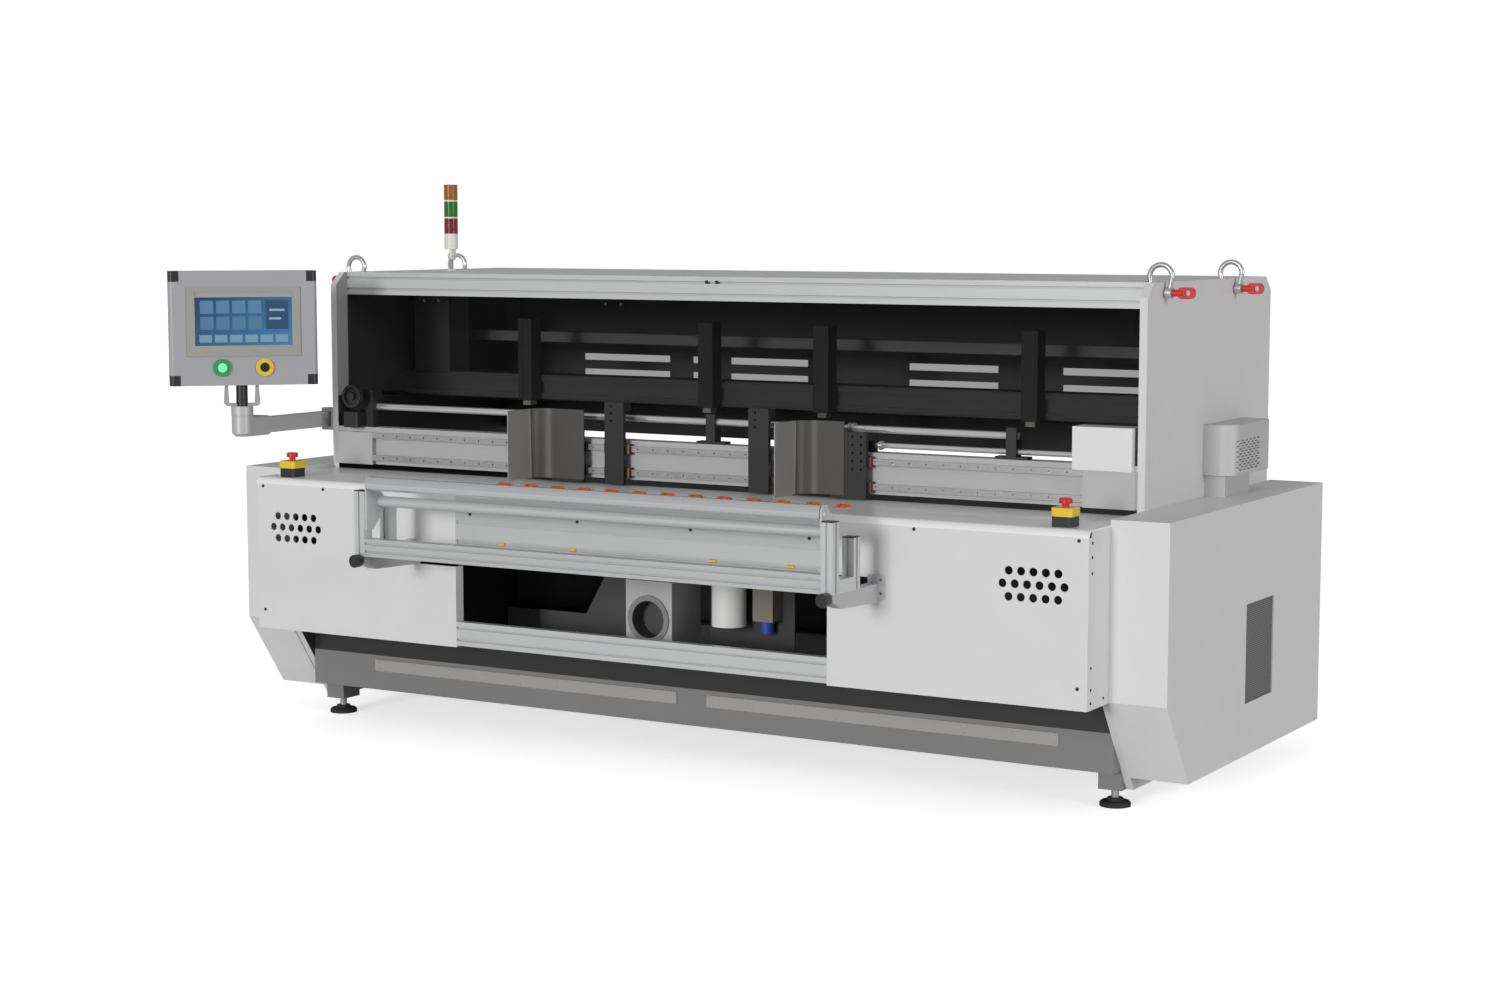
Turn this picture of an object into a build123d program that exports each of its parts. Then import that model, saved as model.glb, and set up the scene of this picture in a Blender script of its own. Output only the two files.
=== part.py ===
from build123d import *
import math
import os

# Box making machine for corrugated board, millimetres.
# X runs along the machine, -Y is the operator's side, Z is up.
# The origin is the centre of the base's footprint, on the floor.

# Side frame plates, the backbone of the machine
bay_half = 1540.0
plate_t = 25.0
plate_half = bay_half + plate_t
plate_bottom = 56.0
plate_top = 1586.0
plate_corner_y = 48.0
plate_corner_z = 45.0
upper_front = -347.0
upper_back = 737.0
knee_y = -590.0
knee_z = 345.0
toe_y = -397.0

# Base: end housings, front covers and table
end_depth = 185.0
end_half = plate_half + end_depth
end_front = -608.0
end_back = 765.0
end_top = 901.0
end_bottom = 99.0
toe_top_z = 359.0
toe_back_y = -429.0
front_y = -765.0
table_z = 884.0
table_t = 4.0
lip_r = 22.0
cover_bottom = 355.0
cover_sheet = 3.0
cover_hem = 40.0

# Opening between the front covers, and the notches beside it
opening_half = 705.0
notch_width = 160.0
notch_bottom = 626.0
notch_top = 700.0

# Vent groups of the front covers
vent_r = 13.0
vent_pitch = 39.5
vent_step = 38.5
vent_rows = (5, 6, 5)
vent_mid_x = 1391.0
vent_mid_z = 714.0

# Extruded aluminium beams
beam_h = 80.0
beam_t = 28.0
slot_w = 8.0
slot_deep = 9.0
low_beam_z = 361.0

# Window, rear wall and top cover
window_y = -286.0
window_t = 6.0
window_bottom = 1150.0
seam_x = 771.5
seam_gap = 3.0
skin_t = 3.0
outfeed_top = 960.0

# Feed beam and its two rails
feed_beam_bottom = 903.0
feed_beam_top = 1035.0
feed_beam_t = 60.0
rail_inset = 170.0
rail_half = bay_half - rail_inset
rail_h = 20.0
rail_t = 20.0
low_rail_z = 928.0
high_rail_z = 1008.0
rail_hole_r = 3.5
rail_hole_pitch = 60.0

# Sliding carriages and board guides on the rails
run_gap = 0.3
block_h = 34.0
block_wall = 9.0
block_cap = 6.0
carriage_t = 15.0
carriage_bottom = 890.0
mid_w = 76.0
mid_top = 1165.0
mid_left_x = -320.0
mid_right_x = 242.0
wide_w = 128.0
wide_top = 1102.0
guide_left_x = -630.0
guide_right_x = 405.0
guide_front = -570.0
guide_bottom = 899.0
guide_top = 1135.0
guide_t = 3.0
guide_bend = 60.0
flange_left = 190.0
flange_right = 155.0

# Drive shafts behind the feed beam's front edge
shaft_y = -310.0
shaft_r = 12.0
shaft_z = 1107.0
low_shaft_r = 9.0
low_shaft_z = 1057.0
low_shaft_x0 = 604.0
mid_block_x = 22.0
end_block_x = 1113.5
cover_inset = 10.0
cover_len = 195.0
cover_x1 = bay_half - cover_inset
cover_x0 = cover_x1 - cover_len
cover_front = -372.0
cover_depth = 145.0

# Hand wheel and gear unit at the left
hand_inset = 100.0
hand_x = hand_inset - bay_half
gear_w = 34.0
gear_gap = 20.0
gear_x0 = hand_x + gear_gap
gear_block_x = gear_x0 + gear_w
gear_top = 1168.0
gear_arm_low = 1100.0
motor_w = 64.0
motor_top = 1090.0
hand_z = 1147.0
hand_r = 41.0
hand_front = -396.0
hand_w = 18.0
axle_r = 8.0
journal_gap = 0.05

# Feed wheels under the table
wheel_y = -565.0
wheel_r = 40.0
wheel_w = 32.0
wheel_rise = 9.0
wheel_pitch = 108.3
wheel_count = 13
wheel_shaft_r = 12.0
wheel_room = 6.0

# Infeed frame in front of the opening
post = 40.0
infeed_half = 888.0
infeed_front = -1063.0
infeed_rear = -934.0
infeed_bottom = 684.0
front_post_top = 896.0
rear_post_top = 838.0
low_profile_h = 58.0
roller_r = 23.0
roller_y = -1040.0
roller_z = 921.0
roller_journal_r = 10.0
tube_r = 17.5
tube_y = -986.0
tube_z = 858.0
end_plate_t = 6.0
knob_r = 21.0
knob_z = 657.0
knob_y = -1040.0

# Operator panel on its swivel arm
arm_pivot_y = -320.0
arm_out = 46.0
arm_z = 1057.0
arm_h = 54.0
arm_w = 44.0
hinge_pin_r = 9.0
arm_reach = 458.0
elbow_r = 38.0
post_r = 20.0
panel_w = 504.0
panel_shift = 8.0
panel_h = 394.0
panel_d = 90.0
panel_bottom = 1204.0
panel_turn = 45.0
panel_round = 16.0
panel_cap = 36.0
screen_w = 386.0
screen_h = 238.0
screen_low = 101.0
control_r = 16.0
control_ring_r = 30.0
control_up = 62.0
button_x = -67.0
key_x = 77.0

# Signal tower
lamp_inset = 160.0
lamp_x = lamp_inset - bay_half
lamp_y = 125.0
lamp_r = 25.0
knuckle_z = 1638.0
lamp_base_z = 1664.0
lamp_base_top = 1722.0
lens_h = 56.0
lens_gap = 6.0

# Emergency stops
stop_inset = 80.0
stop_x = bay_half - stop_inset
stop_y = -695.0
stop_w = 64.0
stop_base_top = 915.0
stop_rim_top = 940.0
stop_top = 968.0
stop_cap_r = 20.0
stop_stem_r = 11.0

# Lifting shackles
shackle_front_y = -215.0
shackle_rear_y = 390.0
shackle_pin_z = 1553.0
shackle_top = 1646.0
shackle_half = 44.5
shackle_bar_r = 8.0
shackle_eye_r = 17.0
shackle_eye_t = 20.0
shackle_pin_r = 10.0
shackle_leg = 28.0
handle_neck = 16.0
handle_neck_r = 11.0
handle_len = 56.0
handle_r = 18.0
handle_t = 14.0
handle_hole_r = 9.0

# Fan box on the right plate
fan_y0 = 130.0
fan_y1 = 490.0
fan_z0 = 970.0
fan_z1 = 1130.0
fan_out = 105.0
fan_round = 50.0
neck_out = 70.0
neck_y0 = 150.0
neck_y1 = 370.0

# Tools and beams seen through the window
tool_y = 60.0
tool_w = 58.0
tool_bottom = 1110.0
tool_top = 1420.0
tool_beam_t = 120.0
tool_beam_z0 = 1128.0
tool_beam_z1 = 1216.0
tool_xs = (-954.0, -193.0, 262.0, 1028.0)
drive_block_x = 35.0 - bay_half
drive_block_w = 160.0
drive_block_top = 1500.0
cross_beam_y = 300.0
cross_beam_z0 = 1323.0
cross_beam_z1 = 1360.0

# Chassis and levelling feet
chassis_front = -500.0
chassis_t = 60.0
chassis_z0 = 120.0
chassis_z1 = 250.0
strip_t = 4.0
strip_h = 40.0
strip_z = 188.0
strip_left_x = 278.0 - bay_half
strip_right_x = bay_half - 178.0
strip_split_x = -4.0
strip_split = 116.0
belly_t = 3.0
belly_top = 385.0
foot_inset = 38.0
foot_x = bay_half - foot_inset
foot_front_y = -390.0
foot_rear_y = 640.0
foot_r = 48.0
foot_h = 16.0
stud_r = 12.0
stud_in = 20.0
pad_len = 90.0

nodes = {}


def span(x0, x1, y0, y1, z0, z1):
    """A block between two opposite corners."""
    block = Box(x1 - x0, y1 - y0, z1 - z0)
    return Pos((x0 + x1) / 2, (y0 + y1) / 2, (z0 + z1) / 2) * block


def bar_x(x0, x1, y, z, r):
    """A round bar along X."""
    return Pos((x0 + x1) / 2, y, z) * Rot(0, 90, 0) * Cylinder(r, x1 - x0)


def bar_y(y0, y1, x, z, r):
    """A round bar along Y."""
    return Pos(x, (y0 + y1) / 2, z) * Rot(90, 0, 0) * Cylinder(r, y1 - y0)


def bar_z(z0, z1, x, y, r):
    """A round bar along Z."""
    return Pos(x, y, (z0 + z1) / 2) * Cylinder(r, z1 - z0)


def side_profile(points, x0, x1):
    """A polygon in the Y-Z plane, given as (y, z) corners, carried from x0 to x1."""
    plane = Plane(origin=(x0, 0, 0), x_dir=(0, 1, 0), z_dir=(1, 0, 0))
    return extrude(plane * make_face(Polyline(points, close=True)), x1 - x0)


def both_sides(shape):
    """A piece and its mirror image across the machine's centre plane."""
    return [shape, mirror(shape, Plane.YZ)]


def slotted_beam(x0, x1, y0, z0, height):
    """An extruded aluminium beam with two slots along its front face."""
    beam = span(x0, x1, y0, y0 + beam_t, z0, z0 + height)
    for z in (z0 + height / 4, z0 + height * 3 / 4):
        beam -= span(x0, x1, y0, y0 + slot_deep, z - slot_w / 2, z + slot_w / 2)
        beam -= span(x0, x1, y0 + slot_deep / 2, y0 + slot_deep, z - slot_w, z + slot_w)
    return beam


def group(parts):
    """Separate solids kept as one node."""
    solids = []
    for one in parts:
        solids.extend(one.solids())
    return Compound(children=[Solid(s.wrapped) for s in solids])


# Side plates with the shackle pin holes and the feed wheel shaft's bores
wheel_z = table_z + wheel_rise - wheel_r
table_under = table_z - table_t
plate_outline = [
    (toe_y, plate_bottom),
    (knee_y, knee_z),
    (knee_y, table_under),
    (upper_front, table_under),
    (upper_front, plate_top - plate_corner_z),
    (upper_front + plate_corner_y, plate_top),
    (upper_back - plate_corner_y, plate_top),
    (upper_back, plate_top - plate_corner_z),
    (upper_back, plate_bottom),
]
plate = side_profile(plate_outline, bay_half, plate_half)
for y in (shackle_front_y, shackle_rear_y):
    plate -= bar_x(bay_half - 1, plate_half + 1, y, shackle_pin_z, shackle_pin_r)
plate -= bar_x(bay_half - 1, plate_half + 1, wheel_y, wheel_z, wheel_shaft_r + journal_gap)
nodes["side_plates"] = group(both_sides(plate))

# Chassis: two cross beams, with a pad under each plate's foot
front_rail = span(-bay_half, bay_half, chassis_front, chassis_front + chassis_t, chassis_z0, chassis_z1)
rear_rail = span(-bay_half, bay_half, upper_back - chassis_t, upper_back, chassis_z0, chassis_z1)
pads = []
feet = []
for y in (foot_front_y, foot_rear_y):
    pad = span(2 * foot_x - bay_half, bay_half, y - pad_len / 2, y + pad_len / 2, plate_bottom, chassis_z0)
    pad -= bar_z(plate_bottom - 1, plate_bottom + stud_in, foot_x, y, stud_r)
    pads.extend(both_sides(pad))
    disc = bar_z(0, foot_h, foot_x, y, foot_r)
    disc = chamfer(disc.edges().sort_by(Axis.Z)[-1], foot_h / 3)
    disc += bar_z(foot_h, foot_h + 10, foot_x, y, foot_r / 2)
    disc += bar_z(foot_h, plate_bottom + stud_in, foot_x, y, stud_r)
    feet.extend(both_sides(disc))
shelf_t = 4.0
shelf_z = chassis_z1 + shelf_t
service_y = -392.0
service_top = 690.0
front_rail += span(-bay_half, bay_half, chassis_front, chassis_front + belly_t, chassis_z1, belly_top)
nodes["chassis"] = group([front_rail, rear_rail] + pads)
nodes["levelling_feet"] = group(feet)
strips = [
    span(strip_left_x, strip_split_x, chassis_front - strip_t, chassis_front, strip_z, strip_z + strip_h),
    span(strip_split_x + strip_split, strip_right_x, chassis_front - strip_t, chassis_front, strip_z, strip_z + strip_h),
]
nodes["chassis_strips"] = group(strips)

# End housings: closed boxes outside the plates, with the toe cut back at the bottom
housing_outline = [
    (toe_back_y, end_bottom),
    (end_front, toe_top_z),
    (end_front, end_top),
    (end_back, end_top),
    (end_back, end_bottom),
]
grille_y0 = 50.0
grille_y1 = 300.0
grille_z0 = 265.0
grille_z1 = 580.0
grille_deep = 8.0
grille_t = 3.0
right_end = side_profile(housing_outline, plate_half, end_half)
nodes["end_housing_left"] = mirror(right_end, Plane.YZ)
pocket = span(end_half - grille_deep, end_half, grille_y0, grille_y1, grille_z0, grille_z1)
nodes["end_housing_right"] = right_end - pocket
grille = span(end_half - grille_deep, end_half - grille_deep + grille_t, grille_y0, grille_y1, grille_z0, grille_z1)
nodes["end_grille"] = grille


# Front covers: folded sheet with vents, open towards the machine
def front_cover():
    top = table_z - lip_r
    hem = front_y + cover_hem
    cover = span(opening_half, plate_half, front_y, front_y + cover_sheet, cover_bottom, top)
    cover += span(plate_half - cover_sheet, plate_half, front_y, front_y + lip_r, cover_bottom, top)
    cover += span(plate_half - cover_sheet, plate_half, front_y + lip_r, knee_y, cover_bottom, table_under)
    cover += span(opening_half, opening_half + cover_sheet, front_y, hem, cover_bottom, top)
    cover += span(opening_half, plate_half, front_y, hem, cover_bottom, cover_bottom + cover_sheet)
    cover -= span(opening_half - 1, opening_half + notch_width, front_y - 1, hem + 1, notch_bottom, notch_top)
    for row, count in enumerate(vent_rows):
        z = vent_mid_z + (1 - row) * vent_step
        for i in range(count):
            x = vent_mid_x + (i - (count - 1) / 2) * vent_pitch
            cover -= bar_y(front_y - 1, front_y + cover_sheet + 1, x, z, vent_r)
    return cover


right_cover = front_cover()
nodes["front_cover_right"] = right_cover
nodes["front_cover_left"] = mirror(right_cover, Plane.YZ)

# Centre panel under the table's edge, with two long slots
centre_t = 14.0
centre_bottom = 690.0
centre_slot_h = 12.0
centre_slot_end = 5.0
centre = span(-opening_half, opening_half, front_y, front_y + centre_t, centre_bottom, table_z - lip_r)
for z in (776.0, 712.0):
    centre -= span(-opening_half + centre_slot_end, opening_half - centre_slot_end, front_y - 1,
                   front_y + centre_t / 2, z - centre_slot_h / 2, z + centre_slot_h / 2)
nodes["centre_panel"] = centre

# Lower aluminium beam between the covers
nodes["lower_front_beam"] = slotted_beam(-opening_half, opening_half, front_y, low_beam_z, beam_h)

# Table: a flat sheet with a slot over each feed wheel, carried on through the machine
table = span(-plate_half, plate_half, front_y + lip_r, upper_front, table_under, table_z)
table += span(-bay_half, bay_half, upper_front, upper_back, table_under, table_z)
chord = math.sqrt(wheel_r**2 - (wheel_r - wheel_rise - table_t)**2)
wheel_xs = [(i - (wheel_count - 1) / 2) * wheel_pitch for i in range(wheel_count)]
for x in wheel_xs:
    half_w = wheel_w / 2 + wheel_room
    half_l = chord + wheel_room
    table -= span(x - half_w, x + half_w, wheel_y - half_l, wheel_y + half_l, table_under - 1, table_z + 1)
lip = bar_x(-plate_half, plate_half, front_y + lip_r, table_z - lip_r, lip_r)
lip -= bar_x(-plate_half - 1, plate_half + 1, front_y + lip_r, table_z - lip_r, lip_r - table_t)
lip &= span(-plate_half, plate_half, front_y, front_y + lip_r, table_z - lip_r, table_z)
nodes["table_top"] = table + lip

# Rear cover of the base, with vent slots
rear = span(-plate_half, plate_half, upper_back, upper_back + skin_t, chassis_z0, table_z)
rear_slot_count = 12
rear_slot_pitch = 45.0
for side in (-1, 1):
    for i in range(rear_slot_count):
        x = side * 1000 + (i - (rear_slot_count - 1) / 2) * rear_slot_pitch
        rear -= span(x - 9, x + 9, upper_back - 1, upper_back + skin_t + 1, 560, 640)
nodes["rear_cover"] = rear

# Feed wheels, each with a groove round its tread, pressed on their shaft under the table
groove_w = 8.0
groove_deep = 3.0
nodes["feed_shaft"] = bar_x(-plate_half + wheel_room, plate_half - wheel_room, wheel_y, wheel_z, wheel_shaft_r)
wheels = []
for x in wheel_xs:
    wheel = bar_x(x - wheel_w / 2, x + wheel_w / 2, wheel_y, wheel_z, wheel_r)
    groove = bar_x(x - groove_w / 2, x + groove_w / 2, wheel_y, wheel_z, wheel_r + 1)
    groove -= bar_x(x - groove_w / 2, x + groove_w / 2, wheel_y, wheel_z, wheel_r - groove_deep)
    wheel -= groove
    wheel -= bar_x(x - wheel_w, x + wheel_w, wheel_y, wheel_z, wheel_shaft_r)
    wheels.append(wheel)
nodes["feed_wheels"] = group(wheels)

# Top front beam, tinted window and rear wall of the upper body
top_beam_z = plate_top - beam_h
nodes["top_front_beam"] = slotted_beam(-bay_half, bay_half, window_y, top_beam_z, beam_h)
pane_ends = ((-bay_half, -seam_x - seam_gap / 2), (-seam_x + seam_gap / 2, seam_x - seam_gap / 2),
             (seam_x + seam_gap / 2, bay_half))
panes = [span(a, b, window_y, window_y + window_t, window_bottom, top_beam_z) for a, b in pane_ends]
nodes["front_window"] = group(panes)
rear_wall_y = upper_back - plate_corner_y - skin_t
wall = span(-bay_half, bay_half, rear_wall_y, rear_wall_y + skin_t, outfeed_top, plate_top - skin_t)
for a, b in ((-1167, -778), (-675, -631), (-508, -178), (239, 591), (839, 1200)):
    for z0, z1 in ((1236, 1261), (1179, 1202)):
        wall -= span(a, b, rear_wall_y - 1, rear_wall_y + skin_t + 1, z0, z1)
nodes["rear_wall"] = wall


# Top cover sheet, cut out where the shackles' inner legs swing
top_cover = span(-bay_half, bay_half, window_y + beam_t, upper_back - plate_corner_y, plate_top - skin_t, plate_top)
leg_in = plate_half - plate_t / 2 - shackle_half - 8
leg_swing = 60.0
for y0, y1 in ((window_y + beam_t - 1, shackle_front_y + leg_swing),
               (shackle_rear_y - leg_swing, shackle_rear_y + leg_swing)):
    cut = span(leg_in, bay_half + 1, y0, y1, plate_top - skin_t - 1, plate_top + 1)
    for one in both_sides(cut):
        top_cover -= one
nodes["top_cover"] = top_cover

# Feed beam across the bay, and its two rails with their screw holes
feed_beam = span(-bay_half, bay_half, upper_front, upper_front + feed_beam_t, feed_beam_bottom, feed_beam_top)
rail_front = upper_front - rail_t
end_plate_top = high_rail_z + rail_h / 2
beam_end = span(rail_half + run_gap, bay_half, rail_front, upper_front, feed_beam_bottom, end_plate_top)
for one in both_sides(beam_end):
    feed_beam += one
nodes["feed_beam"] = feed_beam
rail_holes = int(2 * rail_half / rail_hole_pitch)
rails = []
for z in (low_rail_z, high_rail_z):
    rail = span(-rail_half, rail_half, rail_front, upper_front, z - rail_h / 2, z + rail_h / 2)
    for i in range(rail_holes):
        x = (i - (rail_holes - 1) / 2) * rail_hole_pitch
        rail -= bar_y(rail_front - 1, rail_front + 6, x, z, rail_hole_r)
    rails.append(rail)
nodes["feed_rails"] = group(rails)

# Carriages: a plate in front of two saddles that run on the rails
saddle_front = rail_front - block_wall
plate_back = saddle_front
plate_front = plate_back - carriage_t


def saddle(x0, x1, z):
    """A rail block wrapped round three faces of its rail with a running gap."""
    block = span(x0, x1, saddle_front, upper_front - rail_t / 3, z - block_h / 2, z + block_h / 2)
    half = rail_h / 2 + run_gap
    return block - span(x0 - 1, x1 + 1, rail_front - run_gap, upper_front, z - half, z + half)


def carriage(x, width, top, hole_cols, hole_count, hole_step):
    """A carriage plate with its screw holes and its two saddles."""
    body = span(x - width / 2, x + width / 2, plate_front, plate_back, carriage_bottom, top)
    body = fillet(body.edges().filter_by(Axis.Y), 5)
    for share in hole_cols:
        for i in range(hole_count):
            z = top - 14 - i * hole_step
            body -= bar_y(plate_front - 1, plate_front + 8, x + share * width, z, 4)
    for z in (low_rail_z, high_rail_z):
        body += saddle(x - width / 2 - block_cap, x + width / 2 + block_cap, z)
    return body


cap_h = 30.0
for side, x in (("left", mid_left_x), ("right", mid_right_x)):
    body = carriage(x, mid_w, mid_top, (-0.15,), 3, 24)
    body += span(x - mid_w / 2 + 5, x + mid_w / 2 - 5, plate_back, upper_front + 10, mid_top - cap_h, mid_top - 5)
    nodes["carriage_" + side] = body


def guide_blade(x, flange):
    """A bent stainless guide: a blade along Y with a wide bend into a flange along X."""
    back = plate_front - guide_t
    inner = guide_bend
    outer = guide_bend + guide_t
    blade = span(x, x + guide_t, guide_front, back + guide_t - outer, guide_bottom, guide_top)
    blade += span(x + outer, x + flange, back, back + guide_t, guide_bottom, guide_top)
    bend = bar_z(guide_bottom, guide_top, x + outer, back + guide_t - outer, outer)
    bend -= bar_z(guide_bottom - 1, guide_top + 1, x + outer, back + guide_t - outer, inner)
    bend &= span(x, x + outer, back + guide_t - outer, back + guide_t, guide_bottom, guide_top)
    return blade + bend


wide_left_x = guide_left_x + flange_left - wide_w / 2 - 8
wide_right_x = guide_right_x + flange_right + 14
nodes["guide_carriage_left"] = carriage(wide_left_x, wide_w, wide_top, (0.22, 0.38), 5, 26)
nodes["guide_carriage_right"] = carriage(wide_right_x, wide_w, wide_top, (0.12, 0.36), 5, 26)
nodes["guide_left"] = guide_blade(guide_left_x, flange_left)
nodes["guide_right"] = guide_blade(guide_right_x, flange_right)

# Drive shafts, their bearing blocks on the feed beam, and the drive cover
block_w = 35.0
block_d = 40.0
block_foot = 110.0
block_foot_h = 8.0
block_head = 26.0


def shaft_block(x, through_low):
    """A bearing block with a foot plate, bored for the shafts that pass it."""
    body = span(x - block_foot / 2, x + block_foot / 2, shaft_y - block_d / 2, shaft_y + block_d / 2,
                feed_beam_top, feed_beam_top + block_foot_h)
    body += span(x - block_w / 2, x + block_w / 2, shaft_y - block_d / 2, shaft_y + block_d / 2,
                 feed_beam_top, shaft_z + block_head)
    body -= bar_x(x - block_foot, x + block_foot, shaft_y, shaft_z, shaft_r)
    if through_low:
        body -= bar_x(x - block_foot, x + block_foot, shaft_y, low_shaft_z, low_shaft_r)
    return body


clevis = span(low_shaft_x0 - 22, low_shaft_x0 + 28, shaft_y - 16, shaft_y + 12, feed_beam_top, low_shaft_z + 15)
clevis -= bar_x(low_shaft_x0, low_shaft_x0 + 40, shaft_y, low_shaft_z, low_shaft_r)
nodes["shaft_blocks"] = group([shaft_block(mid_block_x, False), shaft_block(end_block_x, True), clevis])
upper_shaft = bar_x(gear_block_x, end_block_x + block_w / 2, shaft_y, shaft_z, shaft_r)
low_shaft = bar_x(low_shaft_x0, cover_x0, shaft_y, low_shaft_z, low_shaft_r)
nodes["drive_shafts"] = group([upper_shaft, low_shaft])
drive = span(cover_x0, cover_x1, cover_front, cover_front + cover_depth, high_rail_z + rail_h / 2, window_bottom)
drive = fillet(drive.edges().filter_by(Axis.Z), 4)
drive -= span(cover_x0 - 1, cover_x1 + 1, upper_front, cover_front + cover_depth + 1, 900, feed_beam_top)
nodes["drive_cover"] = drive

# Gear unit beside the hand wheel, with its motor
gear_back = upper_front + feed_beam_t
gear = span(gear_x0, gear_block_x, shaft_y - 30, gear_back, feed_beam_top, gear_top)
gear += span(hand_x - 24, gear_x0, shaft_y - 30, gear_back, gear_arm_low, gear_top)
gear -= bar_y(shaft_y - 35, shaft_y, hand_x, hand_z, axle_r + journal_gap)
motor = span(gear_x0 - motor_w, gear_x0, upper_front - 42, gear_back, feed_beam_top, motor_top)
motor = fillet(motor.edges().filter_by(Axis.Z), 6)
nodes["gear_unit"] = gear + motor
hand = bar_y(hand_front, hand_front + hand_w, hand_x, hand_z, hand_r)
hand -= bar_y(hand_front - 1, hand_front + hand_w / 2, hand_x, hand_z, hand_r - 9)
hand = hand + bar_y(hand_front - 2, hand_front + hand_w, hand_x, hand_z, 14)
hand += bar_y(hand_front + hand_w, shaft_y - 6, hand_x, hand_z, axle_r)
nodes["hand_wheel"] = hand

# Tool beam, cross beam and tool heads inside the upper body
tool_beam = span(-bay_half, bay_half, tool_y, tool_y + tool_beam_t, tool_beam_z0, tool_beam_z1)
tool_rail = 12.0
for z in (tool_beam_z0 + 14, tool_beam_z1 - 14):
    tool_beam += span(-bay_half, bay_half, tool_y - tool_rail, tool_y, z - 8, z + 8)
cross_beam = span(-bay_half, bay_half, cross_beam_y, cross_beam_y + 40, cross_beam_z0, cross_beam_z1)
tool_beam += span(drive_block_x, drive_block_x + drive_block_w, tool_y, tool_y + tool_beam_t, tool_beam_z1, drive_block_top)
nodes["tool_beams"] = group([tool_beam, cross_beam])
heads = []
for x in tool_xs:
    back = tool_y - tool_rail
    head = span(x - tool_w / 2, x + tool_w / 2, back - 60, back, tool_bottom + 18, tool_top)
    head += span(x - 16, x + 16, back - 50, back - 10, tool_bottom, tool_bottom + 18)
    heads.append(head)
nodes["tool_heads"] = group(heads)

# Lifting shackles hung on pins through the plates
pins = []
plate_mid = plate_half - plate_t / 2
crown_z = shackle_top - shackle_half
arc_half = shackle_half - shackle_bar_r
for name, y in (("front", shackle_front_y), ("rear", shackle_rear_y)):
    side_plane = Plane(origin=(plate_mid, y, shackle_pin_z), x_dir=(1, 0, 0), z_dir=(0, -1, 0))
    lift = crown_z - shackle_pin_z
    legs = [
        Line((-shackle_leg, 6), (-arc_half, lift)),
        ThreePointArc((-arc_half, lift), (0, lift + arc_half), (arc_half, lift)),
        Line((arc_half, lift), (shackle_leg, 6)),
    ]
    path = Wire([side_plane * e for e in legs])
    bow = sweep(Plane(origin=path @ 0, z_dir=path % 0) * Circle(shackle_bar_r), path=path,
                transition=Transition.ROUND)
    for sign in (-1, 1):
        x = plate_mid + sign * shackle_leg
        bow += bar_x(x - shackle_eye_t / 2, x + shackle_eye_t / 2, y, shackle_pin_z, shackle_eye_r)
    bow -= bar_x(plate_mid - 60, plate_mid + 60, y, shackle_pin_z, shackle_pin_r + journal_gap)
    nodes["shackle_right_" + name] = bow
    nodes["shackle_left_" + name] = mirror(bow, Plane.YZ)
    eye_out = shackle_leg + shackle_eye_t / 2 + run_gap
    pin = bar_x(plate_mid - eye_out - 12, plate_mid + eye_out + 4, y, shackle_pin_z, shackle_pin_r)
    pin += bar_x(plate_mid - eye_out - 10, plate_mid - eye_out, y, shackle_pin_z, shackle_eye_r - 3)
    handle_x = plate_mid + eye_out + handle_neck
    pin += bar_x(plate_mid + eye_out, handle_x + handle_r, y, shackle_pin_z, handle_neck_r)
    handle = span(handle_x, handle_x + handle_len, y - handle_t / 2, y + handle_t / 2,
                  shackle_pin_z - handle_r, shackle_pin_z + handle_r)
    handle = fillet(handle.edges().filter_by(Axis.Y), handle_r - 2)
    handle -= bar_y(y - handle_t, y + handle_t, handle_x + handle_len - handle_r - 4, shackle_pin_z, handle_hole_r)
    pin += handle
    pins.extend(both_sides(pin))
nodes["shackle_pins"] = group(pins)

# Infeed frame: posts, side ties and the deep lower profile
post_in = infeed_half - post
side_frame = span(post_in, infeed_half, infeed_front, infeed_front + post, infeed_bottom, front_post_top)
side_frame += span(post_in, infeed_half, infeed_rear, infeed_rear + post, infeed_bottom, rear_post_top)
side_frame += span(post_in, infeed_half, infeed_front + post, infeed_rear, infeed_bottom, infeed_bottom + post)
post_slot = 5.0
for y, top in ((infeed_front, front_post_top), (infeed_rear, rear_post_top)):
    mid_x = infeed_half - post / 2
    side_frame -= span(mid_x - slot_w / 2, mid_x + slot_w / 2, y - 1, y + post_slot, infeed_bottom - 1, top + 1)
    side_frame -= span(infeed_half - post_slot, infeed_half + 1, y + post / 2 - slot_w / 2, y + post / 2 + slot_w / 2,
                       infeed_bottom - 1, top + 1)
low_profile = span(-post_in, post_in, infeed_front, infeed_front + post, infeed_bottom, infeed_bottom + low_profile_h)
for z in (infeed_bottom + 16, infeed_bottom + 42):
    low_profile -= span(-post_in, post_in, infeed_front - 1, infeed_front + slot_deep, z - slot_w / 2, z + slot_w / 2)
nodes["infeed_frame"] = side_frame + mirror(side_frame, Plane.YZ) + low_profile

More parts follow.
